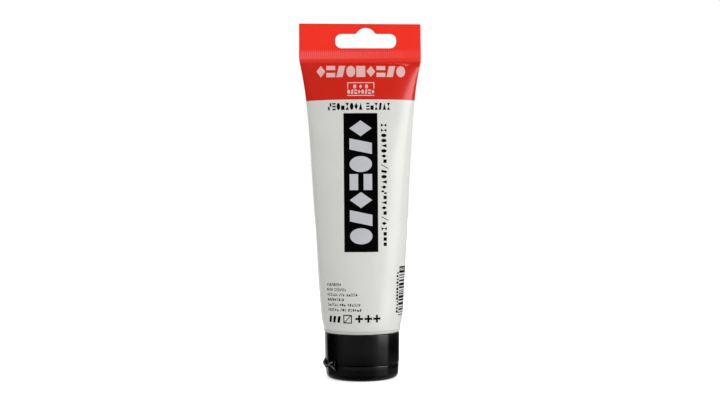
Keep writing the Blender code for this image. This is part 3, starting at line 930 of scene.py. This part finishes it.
def hinge_pocket():
    """Two cones, tip to tip on the hinge's axis, that clear the hinge's wings."""
    length, middle, end = 7.05 * MM, 1.1 * MM, 3.75 * MM
    outline = [(0.0, length), (end, length), (middle, 0.0), (end, -length), (0.0, -length)]
    pocket = lathe("hinge_pocket", outline, None, closed=False)
    along = HINGE_AXIS.to_track_quat("Z", "Y").to_matrix().to_4x4()
    pocket.data.transform(Matrix.Translation(HINGE_PLACE) @ along)
    return pocket


def make_base(finish):
    """The screw cap: tapered skirt, deck with its spout, threaded collar and six webs."""
    skirt, skirt_top, rim = 19.1 * MM, BASE_HIGH.x, PARTING + 0.15 * MM
    deck_low, deck_top, top = 6.8 * MM, 8.6 * MM, BASE_HIGH.z
    inner = skirt - 2.0 * MM
    nest, spout, orifice = 16.4 * MM, 3.2 * MM, 1.9 * MM
    collar_in, collar_out, collar_top = 9.3 * MM, 10.7 * MM, 21.0 * MM
    soft, fine = 0.35 * MM, 0.2 * MM
    outline = filleted([
        (skirt_top, top, soft),
        (skirt, rim, soft),
        (nest, rim, fine),
        (nest, deck_low, soft),
        (spout, deck_low, soft),
        (spout, BASE_LOW.z, soft),
        (orifice, BASE_LOW.z, fine),
        (orifice, deck_low, fine),
        (2 * orifice, deck_top, fine),
        (collar_in, deck_top, fine),
        (collar_in, collar_top, fine),
        (collar_out, collar_top, fine),
        (collar_out, deck_top, soft),
        (inner, deck_top, 1.0 * MM),
        (inner + 0.3 * MM, top, fine),
    ])
    base = lathe("cap_skirt", outline, finish)
    ridge = thread("collar_thread", collar_in + 0.3 * MM, 8.35 * MM, 10.75 * MM, finish)
    cut_or_join(base, ridge, "UNION")
    cut_or_join(base, web_ribs(collar_out, inner, deck_top, finish), "UNION")
    cut_or_join(base, hinge_pocket(), "DIFFERENCE")
    cut_or_join(base, thumb_scoop(skirt, finish), "DIFFERENCE")
    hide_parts("cap_base")
    return shade_smooth(base)


def web_ribs(inner, outer, deck, finish):
    """Six thin upright walls between the collar and the skirt, as one mesh."""
    count, thickness, overlap = 6, 1.0 * MM, 0.3 * MM
    low, high = deck - overlap, 18.5 * MM
    size = Matrix.Diagonal((outer - inner + 2 * overlap, thickness, high - low, 1.0))
    place = Matrix.Translation(((inner + outer) / 2, 0.0, (low + high) / 2))
    bm = bmesh.new()
    for i in range(count):
        turn = Matrix.Rotation(math.tau * i / count, 4, "Z")
        bmesh.ops.create_cube(bm, size=1.0, matrix=turn @ place @ size)
    return object_from(bm, "cap_webs", finish)


def thumb_scoop(skirt, finish):
    """A ball that hollows the skirt just above the lid, opposite the hinge."""
    radius, depth, above_parting = 12.0 * MM, 1.0 * MM, 1.5 * MM
    middle = -HINGE_OUT * (skirt + radius - depth)
    middle.z = PARTING + above_parting
    place = Matrix.Translation(middle)
    bm = bmesh.new()
    bmesh.ops.create_uvsphere(bm, u_segments=96, v_segments=48, radius=radius, matrix=place)
    return object_from(bm, "thumb_scoop", finish)


def make_lid(finish):
    """The low lid: rounded corner, shallow dish underneath, pin and ring inside."""
    outer, rim, floor = LID_HIGH.x, LID_HIGH.z, 1.6 * MM
    inner = outer - 2.1 * MM
    pin, pin_top = 1.5 * MM, 6.6 * MM
    ring_in, ring_out, ring_top = 4.0 * MM, 4.8 * MM, 6.0 * MM
    foot, dish, dish_depth = 13.4 * MM, 13.05 * MM, 0.35 * MM
    fine = 0.2 * MM
    outline = filleted([
        (0.0, pin_top, 0.0),
        (pin, pin_top, 0.4 * MM),
        (pin, floor, 0.3 * MM),
        (ring_in, floor, 0.3 * MM),
        (ring_in, ring_top, fine),
        (ring_out, ring_top, fine),
        (ring_out, floor, 0.4 * MM),
        (inner, floor, 2.0 * MM),
        (inner, rim, fine),
        (outer, rim, 0.35 * MM),
        (outer - 0.05 * MM, 5.8 * MM, 12.0 * MM),
        (outer - 0.25 * MM, 2.9 * MM, 6.0 * MM),
        (outer - 0.6 * MM, 0.0, 2.5 * MM),
        (foot, 0.0, fine),
        (dish, dish_depth, fine),
        (0.0, dish_depth, 0.0),
    ])
    lid = lathe("flip_lid", outline, finish, closed=False)
    cut_or_join(lid, hinge_pocket(), "DIFFERENCE")
    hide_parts("lid")
    return shade_smooth(lid)


def hinge_sheet(bm, angles, halves, bows):
    """One leaf of the hinge, between two angles from its middle.

    halves are its half heights at those angles, and bows are how far it bows outwards at the
    parting line.
    """
    rows, columns = 21, 12
    sheet = []
    for row in range(rows):
        up = 2 * row / (rows - 1) - 1
        bulge = math.cos(math.pi / 2 * up) ** 1.3
        line = []
        for column in range(columns):
            along = column / (columns - 1)
            angle, half, bow = (a + (b - a) * along for a, b in (angles, halves, bows))
            place = Matrix.Rotation(angle, 3, "Z") @ HINGE_OUT * (SHEET_PLACE + bow * bulge)
            line.append(bm.verts.new((place.x, place.y, PARTING + up * half)))
        sheet.append(line)
    for low, high in zip(sheet, sheet[1:]):
        for column in range(columns - 1):
            bm.faces.new((low[column], low[column + 1], high[column + 1], high[column]))


def make_hinge(finish):
    """The butterfly hinge: two bowed wings and the strap between them, bowing out most at the parting
    line.

    The wings and the strap reach between angles, in radians, from the hinge's middle.
    """
    wing_start, wing_end, strap = 0.035, 0.335, 0.03
    bm = bmesh.new()
    for side in (-1, 1):
        angles = (side * wing_start, side * wing_end)
        hinge_sheet(bm, angles, (0.35 * MM, 2.7 * MM), (0.45 * MM, 1.25 * MM))
    hinge_sheet(bm, (-strap, strap), (0.9 * MM, 0.9 * MM), (0.3 * MM, 0.3 * MM))
    bmesh.ops.recalc_face_normals(bm, faces=bm.faces)
    spring = object_from(bm, "hinge_spring", finish)
    solidify = spring.modifiers.new("thickness", "SOLIDIFY")
    solidify.thickness = SHEET
    solidify.offset = 0.0
    bevel = spring.modifiers.new("soft edges", "BEVEL")
    bevel.width = 0.14 * MM
    bevel.segments = 3
    spring.data.shade_smooth()
    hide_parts("hinge_film", "hinge_wing_front", "hinge_wing_rear")
    return spring


# Stage


# Light that glossy surfaces reflect, by azimuth: 0 is towards the camera, positive to the right. For
# each azimuth: the level from well below the horizon, from just below it, and from above it.
STUDIO_BANDS = (
    (-180, 0.50, 0.75, 0.9),
    (-141, 0.50, 0.80, 0.9),
    (-134, 0.20, 0.00, 0.0),
    (-96, 0.18, 0.00, 0.0),
    (-84, 0.12, 0.06, 0.1),
    (-55, 0.06, 0.22, 0.25),
    (0, 0.02, 0.20, 0.12),
    (30, 0.04, 0.26, 0.15),
    (45, 0.12, 0.43, 0.6),
    (57, 0.18, 0.63, 4.2),
    (82, 0.22, 0.75, 4.6),
    (90, 0.28, 0.01, 0.3),
    (146, 0.30, 0.01, 0.1),
    (158, 0.50, 0.30, 0.9),
    (180, 0.50, 0.75, 0.9),
)
BRIGHTEST = 5.0  # the nodes hold levels as shares of this one

# Levels that light matt surfaces
SOFT_LEFT, SOFT_RIGHT, SOFT_BEHIND = 0.24, 1.44, 0.60


def azimuth_of(nodes, parts):
    """The world direction's azimuth, from 0 at the back through 0.5 towards the camera to 1."""
    towards = calculated(nodes, "MULTIPLY", parts.outputs["Y"], -1.0)
    angle = calculated(nodes, "ARCTAN2", parts.outputs["X"], towards)
    return ranged(nodes, angle, 0.0, 1.0, -math.pi, math.pi)


def mirrored_light(nodes, parts):
    """What glossy surfaces reflect: a softbox to the right between dark cards, and the pale room."""
    ramp = nodes.add("ValToRGB", None, Fac=azimuth_of(nodes, parts))
    elements = ramp.color_ramp.elements
    while len(elements) < len(STUDIO_BANDS):
        elements.new(0.5)
    for element, (degrees, *levels) in zip(elements, STUDIO_BANDS):
        element.position = (degrees + 180) / 360
        element.color = [level / BRIGHTEST for level in levels] + [1.0]
    levels = nodes.add("SeparateColor", None, Color=ramp.outputs["Color"])
    up = parts.outputs["Z"]
    to_level = ranged(nodes, up, 0.0, 1.0, -0.33, -0.17)
    to_above = ranged(nodes, up, 0.0, 1.0, -0.12, 0.10)
    low = blended(nodes, to_level, levels.outputs["Red"], levels.outputs["Green"])
    return blended(nodes, to_above, low, levels.outputs["Blue"])


def soft_light(nodes, parts):
    """What matt surfaces are lit by: a slow slope from the left to the right, and more from behind."""
    x, y = parts.outputs["X"], parts.outputs["Y"]
    side = ranged(nodes, x, SOFT_LEFT / BRIGHTEST, SOFT_RIGHT / BRIGHTEST, -1.0, 1.0)
    behind = ranged(nodes, y, 0.0, SOFT_BEHIND / BRIGHTEST, 0.0, 1.0)
    return calculated(nodes, "ADD", side, behind)


def make_world():
    """A studio with its own light for glossy and for matt surfaces, plain white to the camera."""
    world = bpy.data.worlds.new("studio")
    bpy.context.scene.world = world
    nodes = Nodes(world)
    place = nodes.add("TexCoord")
    parts = nodes.add("SeparateXYZ", None, Vector=place.outputs["Generated"])
    path = nodes.add("LightPath")
    glossy = path.outputs["Is Glossy Ray"]
    level = blended(nodes, glossy, soft_light(nodes, parts), mirrored_light(nodes, parts))
    lit = nodes.add("Background", None, Color=level, Strength=BRIGHTEST)
    plain = nodes.add("Background", None, Color=(1.0, 1.0, 1.0, 1.0), Strength=1.0)
    seen = either(nodes, path.outputs["Is Camera Ray"], lit.outputs[0], plain.outputs[0])
    nodes.add("OutputWorld", None, Surface=seen)


def floor_paper():
    """Pale paper, lifted to white for the camera only, that glossy surfaces don't mirror."""
    glow_strength = 0.6
    made = bpy.data.materials.new("floor_paper")
    nodes = Nodes(made)
    paper = nodes.add("BsdfDiffuse")
    nodes.set(paper, "Color", mixed(nodes, noise(nodes, 400.0), (0.90, 0.90, 0.90), (0.93, 0.93, 0.93)))
    path = nodes.add("LightPath")
    strength = calculated(nodes, "MULTIPLY", path.outputs["Is Camera Ray"], glow_strength)
    glow = nodes.add("Emission", None, Strength=strength)
    seen = nodes.add("AddShader")
    nodes.set(seen, "0", paper.outputs["BSDF"])
    nodes.set(seen, "1", glow.outputs["Emission"])
    unseen = nodes.add("BsdfTransparent")
    shown = either(nodes, path.outputs["Is Glossy Ray"], seen.outputs[0], unseen.outputs[0])
    nodes.add("OutputMaterial", None, Surface=shown)
    return made


def make_floor():
    """A large round floor under the lid's foot."""
    bm = bmesh.new()
    bmesh.ops.create_circle(bm, cap_ends=True, segments=96, radius=6.0)
    object_from(bm, "floor", floor_paper())


def make_camera():
    """Level, straight in front of the tube's middle, with a slight roll."""
    camera = bpy.data.objects.new("camera", bpy.data.cameras.new("camera"))
    bpy.context.scene.collection.objects.link(camera)
    camera.data.lens = 54
    camera.data.sensor_width = 36
    place = Matrix.Translation((-0.55 * MM, -558 * MM, 89.9 * MM))
    level = Matrix.Rotation(math.radians(90), 4, "X")
    roll = Matrix.Rotation(math.radians(-0.42), 4, "Z")
    camera.matrix_world = place @ level @ roll
    bpy.context.scene.camera = camera


def make_moulded_pieces():
    """The sleeve, the head and the cap, each on its own body."""
    black = cap_plastic()
    for piece, body, slot in (
        (make_sleeve(white_film(), red_film(), tab_film()), "tube", "sleeve_plastic"),
        (make_head(natural_plastic()), "tube", "natural_plastic"),
        (make_base(black), "cap", "cap_plastic"),
        (make_lid(black), "lid", "cap_plastic"),
    ):
        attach(piece, body)
    spring = make_hinge(black)
    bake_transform(spring)


def make_print():
    """All the ink on the sleeve."""
    black = ink("ink_black", (4, 4, 5), 0.8, 0.06)
    dark = ink("ink_dark", (56, 52, 50), 0.8, 0.12)
    grey = ink("ink_grey", (204, 206, 211), 0.95, 0.3)
    pale = ink("ink_pale", (240, 196, 194), 0.95, 0.3)
    make_top_marks(pale)
    make_badge(pale)
    make_heading(black)
    make_title(black, grey)
    make_side_column(black)
    make_small_print(dark)
    make_symbols(black)
    make_stripe_code(black)


def finish_cad_nodes():
    """Finishes for the CAD nodes that are shown as they are."""
    finishes = {
        "mouth_seal_foil": foil_laminate(),
        "sealing_ring": ring_foam(),
        "paint_fill": wet_paint(),
    }
    for node, finish in finishes.items():
        cad = frame["nodes"][node]
        cad.data.materials.clear()
        cad.data.materials.append(finish)
        shade_smooth(cad)


bpy.context.scene.view_settings.view_transform = "Standard"
make_moulded_pieces()
make_print()
finish_cad_nodes()
make_world()
make_floor()
make_camera()
